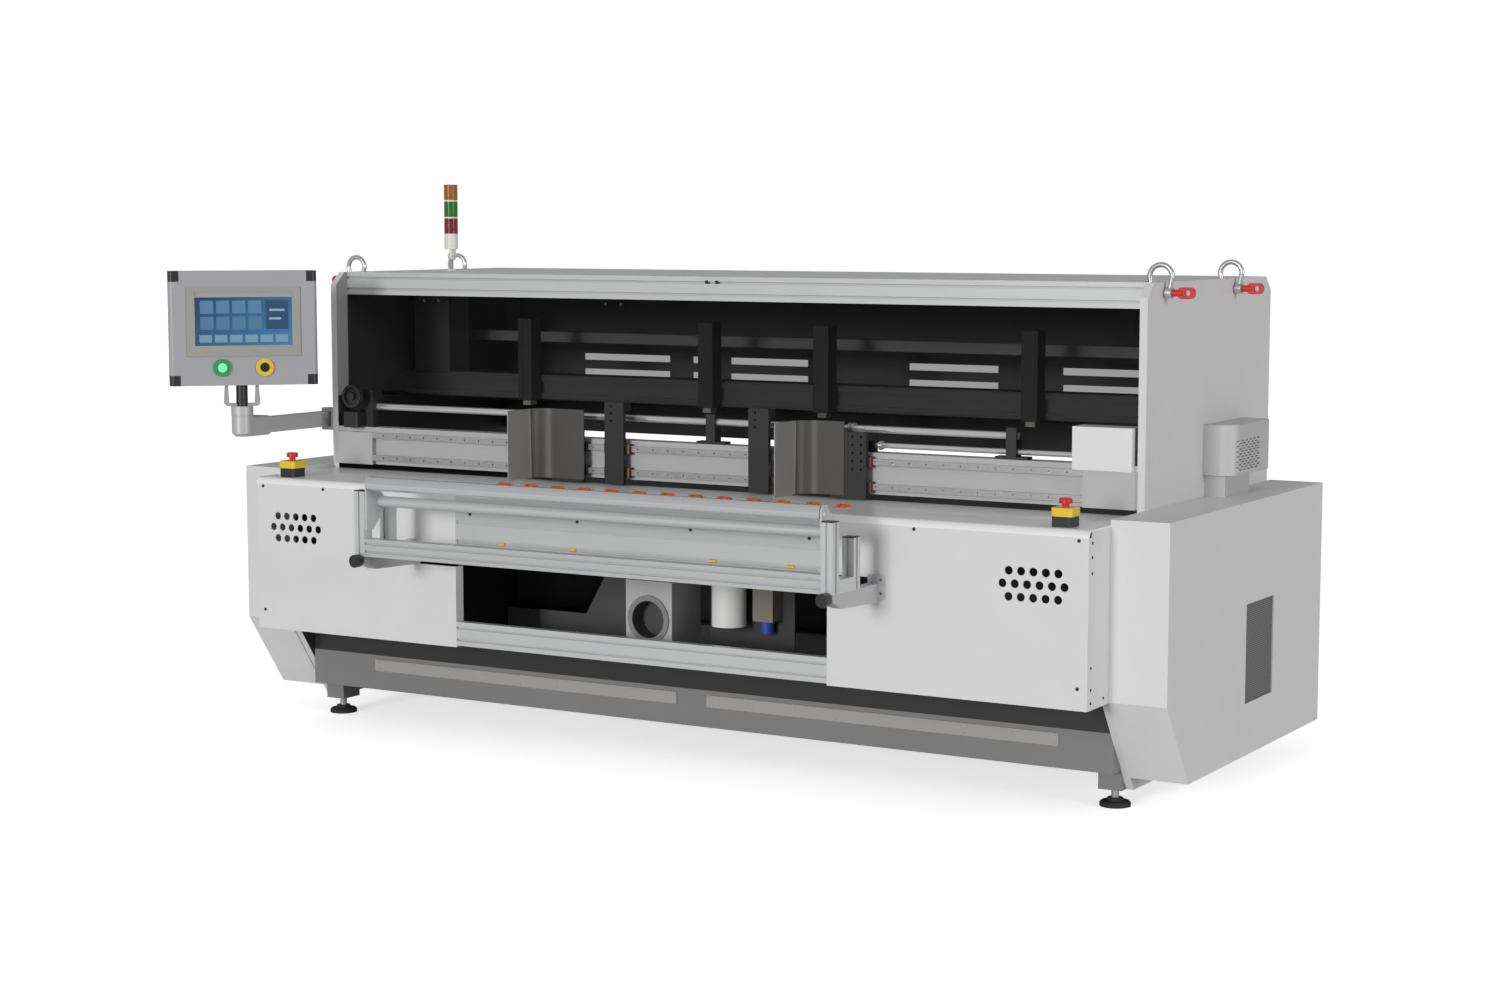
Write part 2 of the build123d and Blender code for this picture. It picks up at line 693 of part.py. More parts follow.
# End plates on the posts' inner faces, with the fixed tube between them
end_outline = [
    (infeed_front + 6, 770),
    (infeed_front + 6, roller_z + 6),
    (roller_y - 8, roller_z + 24),
    (roller_y + 14, roller_z + 24),
    (tube_y + 24, tube_z + 12),
    (tube_y + 24, tube_z - 24),
    (infeed_front + post, 770),
]
end_plate = side_profile(end_outline, post_in - end_plate_t, post_in)
end_plate -= bar_x(post_in - 20, post_in + 1, roller_y, roller_z, roller_journal_r + journal_gap)
tube = bar_x(-post_in + end_plate_t, post_in - end_plate_t, tube_y, tube_z, tube_r)
nodes["roller_frame"] = end_plate + mirror(end_plate, Plane.YZ) + tube
roller_end = post_in - end_plate_t - 2
roller = bar_x(-roller_end, roller_end, roller_y, roller_z, roller_r)
roller += bar_x(-post_in + 1, post_in - 1, roller_y, roller_z, roller_journal_r)
nodes["infeed_roller"] = roller

# Cast brackets that carry the infeed frame from the covers' faces, and their clamp knobs
bracket_low = 636.0
flange_t = 12.0
bracket_outline = [
    (front_y, bracket_low - 8),
    (front_y, infeed_bottom),
    (infeed_front + 4, infeed_bottom),
    (infeed_front + 4, bracket_low + 26),
    (infeed_front + 60, bracket_low),
    (front_y - flange_t, bracket_low - 8),
]
bracket = side_profile(bracket_outline, post_in + 3, infeed_half - 3)
ear = span(infeed_half - 3, infeed_half + 18, front_y - flange_t, front_y, bracket_low - 2, 710)
ear = fillet(ear.edges().filter_by(Axis.Y).sort_by(Axis.X)[-2:], 12)
ear += span(post_in + 3, infeed_half - 3, front_y - flange_t, front_y, infeed_bottom, 710)
for z in (bracket_low + 18, 696):
    ear -= bar_y(front_y - flange_t - 1, front_y + 1, infeed_half + 8, z, 5)
bracket += ear
knob_seat = infeed_front + 4
knob = bar_y(knob_seat - 34, knob_seat - 10, infeed_half - post / 2, bracket_low + 34, knob_r)
knob += bar_y(knob_seat - 10, knob_seat, infeed_half - post / 2, bracket_low + 34, 9)
nodes["infeed_brackets"] = group(both_sides(bracket))
nodes["clamp_knobs"] = group(both_sides(knob))

# Signal tower: foot with its ear, and the folding column of lenses
ear_t = 6.0
tongue_t = 12.0
ear_x0 = lamp_x - ear_t
knuckle_r = 14.0
foot = bar_z(plate_top, plate_top + 6, lamp_x, lamp_y, lamp_r)
foot += span(ear_x0, lamp_x, lamp_y - 12, lamp_y + 12, plate_top + 6, knuckle_z)
foot += bar_x(ear_x0, lamp_x, lamp_y, knuckle_z, knuckle_r)
foot += bar_x(lamp_x, lamp_x + tongue_t + 2, lamp_y, knuckle_z, 5)
nodes["lamp_foot"] = foot
tongue_x0 = lamp_x + run_gap
column = bar_x(tongue_x0, lamp_x + tongue_t, lamp_y, knuckle_z, knuckle_r)
column += span(tongue_x0, lamp_x + tongue_t, lamp_y - 12, lamp_y + 12, knuckle_z, lamp_base_z)
column -= bar_x(lamp_x - 1, lamp_x + tongue_t + 3, lamp_y, knuckle_z, 5 + journal_gap)
column += bar_z(lamp_base_z, lamp_base_top, lamp_x, lamp_y, lamp_r)
lenses = []
z = lamp_base_top
for i in range(3):
    lenses.append(bar_z(z, z + lens_h, lamp_x, lamp_y, lamp_r))
    z += lens_h
    if i < 2:
        lenses.append(bar_z(z, z + lens_gap, lamp_x, lamp_y, lamp_r - 2))
        z += lens_gap
nodes["lamp_column"] = column
nodes["lamp_lenses"] = lenses[0] + lenses[1] + lenses[2] + lenses[3] + lenses[4]

# Emergency stops on the table's corners
bases = []
rims = []
stem_bore = stop_base_top + 3
for side, x in (("left", -stop_x), ("right", stop_x)):
    half = stop_w / 2
    base = span(x - half, x + half, stop_y - half, stop_y + half, table_z, stop_base_top)
    base = fillet(base.edges().filter_by(Axis.Z), 8)
    rim = span(x - half - 2, x + half + 2, stop_y - half - 2, stop_y + half + 2, stop_base_top, stop_rim_top)
    rim = fillet(rim.edges().filter_by(Axis.Z), 10)
    rim -= bar_z(stem_bore, stop_rim_top + 1, x, stop_y, stop_stem_r + journal_gap)
    bases.append(base + rim)
    cap_low = stop_rim_top + 12
    button = bar_z(stem_bore + 10, cap_low, x, stop_y, stop_stem_r)
    button += bar_z(cap_low, stop_top, x, stop_y, stop_cap_r)
    button = fillet(button.edges().sort_by(Axis.Z)[-1], 5)
    nodes["stop_button_" + side] = button
nodes["stop_boxes"] = group(bases)

# Operator panel: wall bracket, arm with its elbow, and the turning housing
arm_x = -plate_half - arm_out
arm_low = arm_z - arm_h / 2
arm_high = arm_z + arm_h / 2
bracket_r = arm_w / 2
lug_t = 12.0
wall_plate_t = 10.0
lug_gap = 0.5
bracket = span(-plate_half - wall_plate_t, -plate_half, upper_front + 2, arm_pivot_y + 45,
               arm_low - lug_gap - lug_t, arm_high + lug_gap + lug_t)
for z0, z1 in ((arm_low - lug_gap - lug_t, arm_low - lug_gap), (arm_high + lug_gap, arm_high + lug_gap + lug_t)):
    bracket += span(arm_x, -plate_half, arm_pivot_y - bracket_r, arm_pivot_y + bracket_r, z0, z1)
    bracket += bar_z(z0, z1, arm_x, arm_pivot_y, bracket_r)
bracket += bar_z(arm_low - lug_gap, arm_high + lug_gap, arm_x, arm_pivot_y, hinge_pin_r)
nodes["panel_bracket"] = bracket
panel_y = arm_pivot_y - arm_reach
arm = span(arm_x - arm_w / 2, arm_x + arm_w / 2, panel_y, arm_pivot_y, arm_low, arm_high)
arm += bar_z(arm_low, arm_high, arm_x, arm_pivot_y, arm_w / 2)
yoke_h = 74.0
collar_top = panel_bottom - yoke_h
elbow_low = arm_low - 6
elbow_top = arm_high + 8
socket_len = 105.0
socket_w = 70.0
elbow = span(arm_x - socket_w / 2, arm_x + socket_w / 2, panel_y, panel_y + socket_len, elbow_low, elbow_top)
elbow = fillet(elbow.edges().filter_by(Axis.Y), 8)
arm += elbow
casting = bar_z(elbow_low, elbow_top + 4, arm_x, panel_y, elbow_r - 1)
arm += chamfer(casting.edges().sort_by(Axis.Z)[0], 12)
arm += bar_z(elbow_top + 6, collar_top, arm_x, panel_y, elbow_r)
arm += bar_z(elbow_top, collar_top, arm_x, panel_y, elbow_r - 3)
arm -= bar_z(arm_low - 1, arm_high + 1, arm_x, arm_pivot_y, hinge_pin_r + journal_gap)
socket = 30.0
arm -= bar_z(collar_top - socket, collar_top + 1, arm_x, panel_y, post_r + journal_gap)
nodes["panel_arm"] = arm
place = Pos(arm_x, panel_y, 0) * Rot(0, 0, panel_turn)
panel_top = panel_bottom + panel_h
panel_x0 = panel_shift - panel_w / 2
panel_x1 = panel_shift + panel_w / 2
shell = span(panel_x0, panel_x1, -panel_d / 2, panel_d / 2, panel_bottom, panel_top)
shell = fillet(shell.edges().filter_by(Axis.Z), panel_round)
corners = []
housing = shell
for x0, x1 in ((panel_x0 - 1, panel_x0 + panel_cap), (panel_x1 - panel_cap, panel_x1 + 1)):
    for z0 in (panel_bottom, panel_top - panel_cap):
        cut = span(x0, x1, -panel_d, panel_d, z0, z0 + panel_cap)
        corner = shell & cut
        corners.append(place * corner)
        housing -= cut
face_y = -panel_d / 2
screen_z0 = panel_bottom + screen_low
pocket_d = 6.0
screen_x0 = panel_shift - screen_w / 2
screen_x1 = panel_shift + screen_w / 2
housing -= span(screen_x0, screen_x1, face_y - 1, face_y + pocket_d, screen_z0, screen_z0 + screen_h)
control_z = panel_bottom + control_up
ring_r = control_r + 4
for x in (button_x, key_x):
    housing -= bar_y(face_y - 1, face_y + 26, x, control_z, ring_r)
housing += bar_z(collar_top - socket + 6, panel_bottom, 0, 0, post_r)
yoke_t = 9.0
yoke_d = 34.0
yoke_top = 57.0
yoke_low = 62.0
foot_gap = 0.5
side_plane = Plane(origin=(0, yoke_d / 2, 0), x_dir=(1, 0, 0), z_dir=(0, -1, 0))
strap = [
    (yoke_top, panel_bottom),
    (yoke_low, collar_top + foot_gap + yoke_t),
    (yoke_low - yoke_t, collar_top + foot_gap),
    (post_r - 2, collar_top + foot_gap),
    (post_r - 2, collar_top + foot_gap + yoke_t),
    (yoke_low - 2 * yoke_t, collar_top + foot_gap + yoke_t),
    (yoke_top - yoke_t, panel_bottom),
]
yoke = extrude(side_plane * make_face(Polyline(strap, close=True)), yoke_d)
housing += yoke + mirror(yoke, Plane.YZ)
nodes["panel_housing"] = place * housing
nodes["panel_corners"] = group(corners)
bezel_w = 28.0
bezel_low = 37.0
bezel_high = 16.5
bezel = span(screen_x0, screen_x1, face_y - 4, face_y + pocket_d, screen_z0, screen_z0 + screen_h)
glass_z0 = screen_z0 + bezel_low
glass_z1 = screen_z0 + screen_h - bezel_high
bezel -= span(screen_x0 + bezel_w, screen_x1 - bezel_w, face_y - 5, face_y - 2, glass_z0, glass_z1)
nodes["panel_screen"] = place * bezel


def control_ring(x):
    """A control's collar on the housing's face, bored for the piece that moves in it."""
    ring = bar_y(face_y - 7, face_y, x, control_z, control_ring_r)
    ring += bar_y(face_y, face_y + 26, x, control_z, ring_r)
    return ring - bar_y(face_y - 8, face_y + 22, x, control_z, control_r + journal_gap)


nodes["control_rings"] = group([place * control_ring(button_x), place * control_ring(key_x)])
nodes["start_button"] = place * bar_y(face_y - 12, face_y + 12, button_x, control_z, control_r)
key = bar_y(face_y - 10, face_y + 12, key_x, control_z, control_r)
key -= span(key_x - 2, key_x + 2, face_y - 11, face_y - 5, control_z - 9, control_z + 9)
nodes["key_switch"] = place * key

# Fan box on the right plate, with its round-edged outer corner and staggered vents
fan = span(plate_half, plate_half + fan_out, fan_y0, fan_y1, fan_z0, fan_z1)
fan = fillet(fan.edges().filter_by(Axis.Z).sort_by(Axis.X)[-2:], fan_round)
fan += span(plate_half, plate_half + neck_out, neck_y0, neck_y1, end_top, fan_z0)
vent_cols = 6
vent_lines = 12
vent_hole_h = 5.0
vent_deep = 6.0
vent_w = 22.0
vent_y0 = 140.0
vent_dy = 36.0
vent_z0 = fan_z0 + 14
vent_dz = 8.4
for i in range(vent_cols):
    for j in range(vent_lines):
        y = vent_y0 + i * vent_dy + (vent_dy / 2 if j % 2 else 0)
        z = vent_z0 + j * vent_dz
        slit = span(plate_half + fan_out - vent_deep, plate_half + fan_out + 1, y, y + vent_w, z, z + vent_hole_h)
        fan -= slit
nodes["fan_box"] = fan

# Units seen through the lower opening, on one shelf: duct column, service panel, air filter and its box
duct_front = -480.0
duct_depth = 180.0
duct_x0 = -216.0
duct_x1 = -36.0
duct_top = 585.0
duct_hole_r = 62.0
duct_hole_z = 457.0
duct_hole_deep = 60.0
duct_lip = 6.0
duct_lip_r = 80.0
bulkhead_x = 15.0 - opening_half
bulkhead_low = 425.0
bulkhead_top = 640.0
slant_x = -494.0
slant_run = 89.0
shelf_x0 = duct_x0 - 14
shelf_x1 = 380.0
service_x0 = 60.0
service_t = 6.0
filter_r = 57.0
filter_x = 166.0
filter_z0 = 455.0
filter_z1 = 620.0
box_x0 = 257.0
box_x1 = 332.0
box_z0 = 477.0
box_z1 = 590.0
units = span(shelf_x0, shelf_x1, chassis_front + belly_t, chassis_front + 260, chassis_z1, shelf_z)
units += span(service_x0, shelf_x1, service_y, service_y + service_t, shelf_z, service_top)
duct = span(duct_x0, duct_x1, duct_front, duct_front + duct_depth, shelf_z, duct_top)
duct_mid = (duct_x0 + duct_x1) / 2
duct -= bar_y(duct_front - 1, duct_front + duct_hole_deep, duct_mid, duct_hole_z, duct_hole_r)
duct += bar_y(duct_front - duct_lip, duct_front, duct_mid, duct_hole_z, duct_lip_r)
duct -= bar_y(duct_front - duct_lip - 1, duct_front, duct_mid, duct_hole_z, duct_hole_r)
units += duct
bulkhead = [
    (duct_x0, shelf_z),
    (bulkhead_x, shelf_z),
    (bulkhead_x, bulkhead_low),
    (slant_x, bulkhead_low),
    (slant_x + slant_run, bulkhead_top - 60),
    (slant_x + slant_run, bulkhead_top),
    (duct_x0, bulkhead_top),
]
bulkhead_plane = Plane(origin=(0, duct_front + duct_depth, 0), x_dir=(1, 0, 0), z_dir=(0, -1, 0))
units += extrude(bulkhead_plane * make_face(Polyline(bulkhead, close=True)), service_t)
bowl = bar_z(filter_z0, filter_z1, filter_x, service_y - filter_r, filter_r)
bowl += span(filter_x - filter_r / 2, filter_x + filter_r / 2, service_y - filter_r, service_y, filter_z0 + 30, filter_z1)
units += bowl
units += span(box_x0, box_x1, service_y - 60, service_y, box_z0, box_z1)
units += bar_z(box_z0 - 40, box_z0, (box_x0 + box_x1) / 2, service_y - 30, 22)
nodes["inner_units"] = units

os.makedirs("parts", exist_ok=True)
for name, shape in nodes.items():
    export_step(shape if isinstance(shape, Compound) else Compound(children=[shape]), "parts/" + name + ".step")
print(len(nodes), "nodes written")
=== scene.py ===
# %% [markdown]
# # Box making machine: the looks
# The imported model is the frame. This file gives each piece its finish, adds the small
# things that a designer leaves to the surface (screws, caps, nuts, the terminal's picture)
# and sets the light and the camera.

# %%
import math

import bpy
import numpy as np
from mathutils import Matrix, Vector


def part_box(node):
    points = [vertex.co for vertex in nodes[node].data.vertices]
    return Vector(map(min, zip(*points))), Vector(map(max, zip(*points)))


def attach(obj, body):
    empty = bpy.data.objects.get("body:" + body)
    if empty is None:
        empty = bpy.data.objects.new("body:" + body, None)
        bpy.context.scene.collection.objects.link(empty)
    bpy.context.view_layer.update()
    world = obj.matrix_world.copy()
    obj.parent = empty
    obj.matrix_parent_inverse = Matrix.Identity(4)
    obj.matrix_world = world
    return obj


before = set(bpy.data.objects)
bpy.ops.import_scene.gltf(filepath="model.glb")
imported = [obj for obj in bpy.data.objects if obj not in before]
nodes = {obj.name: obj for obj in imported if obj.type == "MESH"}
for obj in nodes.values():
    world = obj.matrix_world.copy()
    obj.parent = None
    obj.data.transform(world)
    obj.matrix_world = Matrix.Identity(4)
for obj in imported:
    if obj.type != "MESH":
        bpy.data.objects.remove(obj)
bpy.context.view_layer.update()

# %% [markdown]
# ## A short way to write shader maths
# A `Wire` is one output socket. Arithmetic on it adds a Math node, so a formula for a
# surface reads like the formula itself. Any other node comes from its `node` method.


# %%
class Wire:
    """One output socket of a shader, with arithmetic, comparisons and colour blends."""

    def __init__(self, tree, socket=None):
        self.tree = tree
        self.socket = socket

    def node(self, kind, settings=None, sockets=None, out=0):
        """A node of any type: its settings, then the values or links of its sockets."""
        made = self.tree.nodes.new(kind)
        for key, value in (settings or {}).items():
            setattr(made, key, value)
        for key, value in (sockets or {}).items():
            plug(made.inputs[key], value)
        return Wire(self.tree, made.outputs[out])

    def math(self, operation, *values):
        return self.node("ShaderNodeMath", {"operation": operation}, dict(enumerate(values)))

    def __add__(self, other):
        return self.math("ADD", self, other)

    def __radd__(self, other):
        return self.math("ADD", other, self)

    def __sub__(self, other):
        return self.math("SUBTRACT", self, other)

    def __rsub__(self, other):
        return self.math("SUBTRACT", other, self)

    def __mul__(self, other):
        return self.math("MULTIPLY", self, other)

    def __rmul__(self, other):
        return self.math("MULTIPLY", other, self)

    def __truediv__(self, other):
        return self.math("DIVIDE", self, other)

    def above(self, edge):
        return self.math("GREATER_THAN", self, edge)

    def below(self, edge):
        return self.math("LESS_THAN", self, edge)

    def between(self, start, end):
        return self.above(start) * self.below(end)

    def fraction(self):
        return self.math("FRACT", self)

    def blend(self, first, second):
        """The first colour where this value is 0, the second where it is 1."""
        return self.node("ShaderNodeMix", {"data_type": "RGBA"}, {0: self, 6: opaque(first), 7: opaque(second)}, 2)


def plug(slot, value):
    """Links a wire to a socket, or sets a plain value on it."""
    if isinstance(value, Wire):
        value.tree.links.new(value.socket, slot)
    else:
        slot.default_value = value


def opaque(colour):
    """A colour with its fourth channel, or a wire as it is."""
    return colour if isinstance(colour, Wire) else (*colour, 1.0)


def place_wires(start):
    """The surface point's x, y and z in metres, from Object coordinates."""
    place = start.node("ShaderNodeTexCoord", out="Object")
    return place, [start.node("ShaderNodeSeparateXYZ", None, {0: place}, axis) for axis in "XYZ"]


# %% [markdown]
# ## One recipe for every finish
# A real coat is never one flat colour. Each finish has a slow mottle in its colour, a fine
# grain in its roughness and a low bump: orange peel on powder coat, drawn lines on metal.


# %%
def surface(name, colour, rough, metal=0.0, coat=0.0, mottle=0.03, grain=700.0, stretch=(1.0, 1.0, 1.0),
            bump=0.05, zones=(), glow=0.0):
    """A material. Each zone is (test of x, y, z as wires, colour) and paints over those before it."""
    mat = bpy.data.materials.new(name)
    mat.use_nodes = True
    tree = mat.node_tree
    shader = tree.nodes["Principled BSDF"]
    start = Wire(tree)
    place, xyz = place_wires(start)
    drawn = start.node("ShaderNodeMapping", None, {"Vector": place, "Scale": stretch})
    fine = start.node("ShaderNodeTexNoise", None, {"Vector": drawn, "Scale": grain, "Detail": 3.0}, "Fac")
    cloud = start.node("ShaderNodeTexNoise", None, {"Vector": place, "Scale": 9.0, "Detail": 2.0}, "Fac")
    dark = [part * (1.0 - mottle) for part in colour]
    light = [min(1.0, part * (1.0 + mottle)) for part in colour]
    tone = cloud.blend(dark, light)
    for test, zone_colour in zones:
        tone = test(*xyz).blend(tone, zone_colour)
    plug(shader.inputs["Base Color"], tone)
    if glow:
        plug(shader.inputs["Emission Color"], tone)
        shader.inputs["Emission Strength"].default_value = glow
    plug(shader.inputs["Roughness"], rough + (fine - 0.5) * 0.12)
    shader.inputs["Metallic"].default_value = metal
    shader.inputs["Coat Weight"].default_value = coat
    plug(shader.inputs["Normal"], start.node(
        "ShaderNodeBump", None, {"Strength": bump, "Distance": 0.0004, "Height": fine}))
    return mat


along_x = (0.02, 1.0, 1.0)
along_z = (1.0, 1.0, 0.02)
# Painted shade: the next colour is a near-black for the machine's inside, where shade falls. The heights and span
# below it mark where it is painted: the side plates' inner faces below the window's foot, the rear wall's inner
# face below rear_sight, the chassis above the strips' heads, and the table under the body.
inside_painted_shade = (0.030, 0.030, 0.031)
window_foot = 1.145
rear_sight = 1.10
strip_head = 0.243
under_body = (-0.346, 0.686)
look = {
    "white": surface("white_coat", (0.70, 0.70, 0.70), 0.42),
    "plate": surface("plate_coat", (0.67, 0.67, 0.67), 0.45),
    # Painted shade: the side plates' inner faces are a darker copy of the plate coat, and near-black below the
    # window's foot.
    "plate_inside_painted_shade": surface("plate_inside_painted_shade", (0.27, 0.27, 0.27), 0.50,
                            zones=[(lambda x, y, z: z.below(window_foot), inside_painted_shade)]),
    # Painted shade: the rear wall's inner face is a darker copy of its white coat, and near-black below
    # rear_sight.
    "rear_wall": surface("rear_wall_painted_shade", (0.42, 0.42, 0.42), 0.50,
                         zones=[(lambda x, y, z: z.below(rear_sight), inside_painted_shade)]),
    "cover_bright": surface("drive_cover_coat", (0.76, 0.76, 0.76), 0.40),
    "beam": surface("beam_coat", (0.47, 0.47, 0.475), 0.38),
    "fan": surface("fan_coat", (0.50, 0.50, 0.50), 0.45),
    # Painted shade: the table is near-black where it runs under the body and the feed beam.
    "table": surface("table_coat_and_painted_shade", (0.84, 0.84, 0.84), 0.33, coat=0.2,
                     zones=[(lambda x, y, z: y.between(*under_body), inside_painted_shade)]),
    # Painted shade: near-black for faces inside the machine that lie in shade.
    "inner_painted_shade": surface("inner_painted_shade", inside_painted_shade, 0.55),
    "pale": surface("pale_coat", (0.45, 0.45, 0.45), 0.40),
    "cross": surface("cross_beam_coat", (0.80, 0.80, 0.80), 0.45),
    "grey": surface("grey_coat", (0.22, 0.22, 0.22), 0.42),
    "head_low": surface("tool_coat", (0.34, 0.35, 0.30), 0.45),
    # Painted shade: the chassis is near-black above the strips, in the shade of the covers' overhang.
    "chassis": surface("chassis_coat_and_painted_shade", (0.215, 0.215, 0.215), 0.38,
                       zones=[(lambda x, y, z: z.above(strip_head), (0.020, 0.020, 0.020))]),
    "strip": surface("strip_coat", (0.37, 0.355, 0.34), 0.48),
    "black": surface("black_paint", (0.012, 0.012, 0.013), 0.50, mottle=0.08),
    "rubber": surface("rubber", (0.020, 0.020, 0.020), 0.75, mottle=0.10, bump=0.2),
    "plastic": surface("black_plastic", (0.022, 0.022, 0.024), 0.36, bump=0.1, grain=1200.0),
    "aluminium": surface("aluminium", (0.60, 0.605, 0.61), 0.36, metal=0.30, stretch=along_x),
    "profile": surface("profile_aluminium", (0.56, 0.565, 0.57), 0.34, metal=0.35, stretch=along_x),
    "post": surface("post_aluminium", (0.60, 0.605, 0.61), 0.36, metal=0.30, stretch=along_z),
    "steel": surface("ground_steel", (0.52, 0.52, 0.53), 0.28, metal=0.70, stretch=along_x),
    "stainless": surface("stainless", (0.42, 0.415, 0.41), 0.42, metal=0.60, stretch=along_z, mottle=0.06),
    # Painted shade: the guides' flanges are a much darker copy of the stainless of their blades.
    "flange_painted_shade": surface("stainless_flange_painted_shade", (0.085, 0.083, 0.081), 0.50, metal=0.50, stretch=along_z, mottle=0.06),
    "galvanised": surface("galvanised", (0.56, 0.57, 0.58), 0.36, metal=0.75, mottle=0.14, bump=0.12, grain=220.0),
    "chrome": surface("chrome", (0.84, 0.85, 0.86), 0.16, metal=0.75, bump=0.01, stretch=along_x),
    "cast": surface("cast", (0.50, 0.50, 0.51), 0.46, metal=0.25, bump=0.18, grain=380.0),
    "red_paint": surface("red_paint", (0.62, 0.02, 0.015), 0.30, coat=0.4),
    "red": surface("red_plastic", (0.62, 0.015, 0.012), 0.28, coat=0.3),
    "yellow": surface("yellow_plastic", (0.80, 0.56, 0.02), 0.34, coat=0.2),
    "orange": surface("orange_tread", (0.78, 0.15, 0.05), 0.55, bump=0.15),
    "ring_green": surface("green_collar", (0.03, 0.30, 0.08), 0.32, coat=0.2),
    "mint": surface("lit_button", (0.20, 0.75, 0.42), 0.25, coat=0.4, glow=0.35),
    "cream": surface("cream_plastic", (0.72, 0.72, 0.66), 0.36),
    "housing": surface("terminal_housing", (0.37, 0.37, 0.39), 0.38, bump=0.1),
    "lens_orange": surface("lens_orange", (0.32, 0.10, 0.008), 0.22, coat=0.5),
    "lens_green": surface("lens_green", (0.012, 0.15, 0.010), 0.22, coat=0.5),
    "lens_red": surface("lens_red", (0.19, 0.006, 0.008), 0.22, coat=0.5),
    "blue": surface("blue_cup", (0.03, 0.07, 0.35), 0.35),
    "duct": surface("duct_coat", (0.50, 0.50, 0.50), 0.45),
    "duct_ring": surface("duct_ring_coat", (0.24, 0.24, 0.24), 0.45),
    "bulkhead": surface("bulkhead_coat", (0.065, 0.065, 0.066), 0.50),
    "bowl": surface("filter_bowl", (0.82, 0.82, 0.81), 0.34, coat=0.2),
    "control_box": surface("control_box", (0.20, 0.18, 0.15), 0.45),
    "grille": surface("end_grille", (0.070, 0.070, 0.072), 0.50, stretch=(1.0, 1.0, 1.0),
                      zones=[(lambda x, y, z: (z * 160.0).fraction().below(0.42), (0.20, 0.20, 0.20))]),
}
print("finishes:", len(look))

# %% [markdown]
# ## Tinted panes
# The front window is grey acrylic about 6 mm thick. A pane mixes a dark gloss with a clear
# tinted path, so that the tools show dimly behind it and the slots in the rear wall shine through.


# %%
def pane_finish(name, tint, clear):
    """A dark glossy surface mixed with a tinted clear one."""
    mat = bpy.data.materials.new(name)
    mat.use_nodes = True
    tree = mat.node_tree
    shader = tree.nodes["Principled BSDF"]
    shader.inputs["Base Color"].default_value = (0.012, 0.012, 0.013, 1.0)
    start = Wire(tree)
    place, _ = place_wires(start)
    haze = start.node("ShaderNodeTexNoise", None, {"Vector": place, "Scale": 6.0}, "Fac")
    plug(shader.inputs["Roughness"], 0.05 + haze * 0.05)
    clear_path = start.node("ShaderNodeBsdfTransparent", None, {"Color": opaque(tint)})
    dark_gloss = Wire(tree, shader.outputs[0])
    mixed = start.node("ShaderNodeMixShader", None, {0: clear, 1: dark_gloss, 2: clear_path})
    plug(tree.nodes["Material Output"].inputs["Surface"], mixed)
    return mat


look["pane"] = pane_finish("tinted_pane", (0.60, 0.60, 0.605), 0.90)

# %% [markdown]
# ## The terminal's picture
# The real terminal shows a plain control page. Here it is a generic one: a grey bar along
# the top, two rows of tiles on a blue ground that brightens to the lower right, and a row
# of keys below. The picture is a formula in the panel's own directions: `across` runs along
# its face and `up` is height, each from 0 to 1 over the glass.

# %%
arm_place = (-1.611, -0.778)
glass_left, glass_wide = -0.157, 0.330
glass_low, glass_high = 1.342, 0.1845
half_turn = math.sqrt(0.5)


def glass_place(x, y, z):
    """How far across and up the glass a surface point is."""
    along = (x - arm_place[0]) * half_turn + (y - arm_place[1]) * half_turn
    return (along - glass_left) / glass_wide, (z - glass_low) / glass_high


def tile_rows(x, y, z, first, last, count, left, right, fill=0.82):
    """Tiles between two heights, as many as count, each filling its share of the width."""
    across, up = glass_place(x, y, z)
    step = ((across - left) * (count / (right - left))).fraction()
    return step.between((1 - fill) / 2, (1 + fill) / 2) * across.between(left, right) * up.between(first, last)


def screen_finish():
    """The cream bezel, and inside it the page."""
    def glass(x, y, z):
        across, up = glass_place(x, y, z)
        return across.between(0.0, 1.0) * up.between(0.0, 1.0)

    def lower_right(x, y, z):
        across, up = glass_place(x, y, z)
        return glass(x, y, z) * (across * 0.6 + (1.0 - up) * 0.4)

    zones = [
        (glass, (0.010, 0.035, 0.105)),
        (lower_right, (0.050, 0.185, 0.370)),
        (lambda x, y, z: tile_rows(x, y, z, 0.60, 0.84, 4, 0.04, 0.70), (0.085, 0.205, 0.330)),
        (lambda x, y, z: tile_rows(x, y, z, 0.30, 0.54, 4, 0.04, 0.70), (0.075, 0.180, 0.300)),
        (lambda x, y, z: tile_rows(x, y, z, 0.30, 0.84, 1, 0.72, 0.97, 0.94), (0.020, 0.070, 0.150)),
        (lambda x, y, z: tile_rows(x, y, z, 0.64, 0.68, 1, 0.75, 0.94), (0.240, 0.420, 0.500)),
        (lambda x, y, z: tile_rows(x, y, z, 0.48, 0.52, 1, 0.75, 0.90), (0.240, 0.420, 0.500)),
        (lambda x, y, z: tile_rows(x, y, z, 0.06, 0.20, 6, 0.03, 0.97), (0.170, 0.300, 0.390)),
        (lambda x, y, z: tile_rows(x, y, z, 0.90, 1.00, 1, 0.00, 1.00, 1.00), (0.300, 0.310, 0.320)),
    ]
    return surface("terminal_screen", (0.31, 0.30, 0.28), 0.30, zones=zones, bump=0.02, glow=0.10)


look["screen"] = screen_finish()
